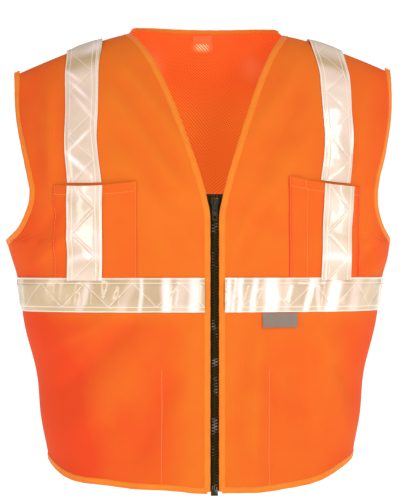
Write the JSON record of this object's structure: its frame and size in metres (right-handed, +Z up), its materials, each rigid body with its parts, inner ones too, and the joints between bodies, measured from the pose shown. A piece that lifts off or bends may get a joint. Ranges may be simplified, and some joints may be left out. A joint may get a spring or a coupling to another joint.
{
  "type": "high visibility safety vest",
  "caption": "Blaze orange zip-front safety vest with V neck, reflective tapes over the shoulders and round the waist, chest and inner pockets and bound edges.",
  "frame": {"origin": "below the middle of the vest, at the height of the lowest point of the zip front; X and Y are the middle of its width and depth", "axes": "+Z up from hem to shoulders, -Y the way the wearer faces, +X towards the wearer's left"},
  "size_m": [0.579, 0.248, 0.7032],
  "materials": {
    "front_knit": "smooth close-knit polyester, blaze orange",
    "mesh_knit": "open mesh knit, blaze orange",
    "binding": "folded woven binding, yellow-orange",
    "reflective_vinyl": "clear prismatic vinyl with welded pattern",
    "zip_plastic": "moulded black plastic",
    "zip_cloth": "woven black zip tape",
    "slider_metal": "black enamel on die-cast metal",
    "label": "blank grey satin tab"
  },
  "bodies": {
    "back": {"back_panel": "mesh_knit", "back_neck_binding": "binding", "back_hem_binding": "binding", "right_back_armhole_binding": "binding", "left_back_armhole_binding": "binding", "back_waist_tape": "reflective_vinyl", "right_back_tape": "reflective_vinyl", "left_back_tape": "reflective_vinyl", "neck_label": "front_knit"},
    "right_front": {"right_front_panel": "front_knit", "right_front_edge_binding": "binding", "right_front_hem_binding": "binding", "right_front_armhole_binding": "binding", "right_waist_tape": "reflective_vinyl", "right_chest_tape": "reflective_vinyl", "right_chest_pocket": "front_knit", "right_pocket_tape": "reflective_vinyl", "right_inner_pocket": "mesh_knit", "right_zip_tape": "zip_cloth", "right_zip_teeth": "zip_plastic", "right_top_stop": "zip_plastic", "insertion_pin": "zip_plastic"},
    "left_front": {"left_front_panel": "front_knit", "left_front_edge_binding": "binding", "left_front_hem_binding": "binding", "left_front_armhole_binding": "binding", "left_waist_tape": "reflective_vinyl", "left_chest_tape": "reflective_vinyl", "left_chest_pocket": "front_knit", "left_pocket_tape": "reflective_vinyl", "left_inner_pocket": "mesh_knit", "left_zip_tape": "zip_cloth", "left_zip_teeth": "zip_plastic", "left_top_stop": "zip_plastic", "retaining_pin": "zip_plastic", "retaining_box": "zip_plastic"},
    "slider": {"slider_body": "slider_metal"},
    "pull": {"pull_tab": "slider_metal"},
    "label": {"grey_label": "label"}
  },
  "joints": [
    {"name": "right_front_opening", "type": "hinge", "parent": "back", "child": "right_front", "pos_m": [-0.236, 0, 0.05], "axis": [0.1738, 0, -0.9848], "range_deg": [0, 75], "deforming": ["right_zip_teeth", "right_zip_tape", "right_top_stop", "insertion_pin"]},
    {"name": "left_front_opening", "type": "hinge", "parent": "back", "child": "left_front", "pos_m": [0.236, 0, 0.05], "axis": [0.1738, 0, 0.9848], "range_deg": [0, 75], "deforming": ["right_zip_teeth", "right_zip_tape", "right_top_stop", "insertion_pin"]},
    {"name": "slider_travel", "type": "slide", "parent": "left_front", "child": "slider", "axis": [0, 0, -1], "range_m": [0, 0.4], "deforming": ["right_zip_teeth", "left_zip_teeth"]},
    {"name": "pull_swing", "type": "hinge", "parent": "slider", "child": "pull", "pos_m": [0, -0.1193, 0.428], "axis": [-1, 0, 0], "range_deg": [0, 170]},
    {"name": "label_lift", "type": "hinge", "parent": "left_front", "child": "label", "pos_m": [0.0975, -0.11548, 0.268], "axis": [-0.9945, -0.1045, 0], "range_deg": [0, 120]}
  ]
}
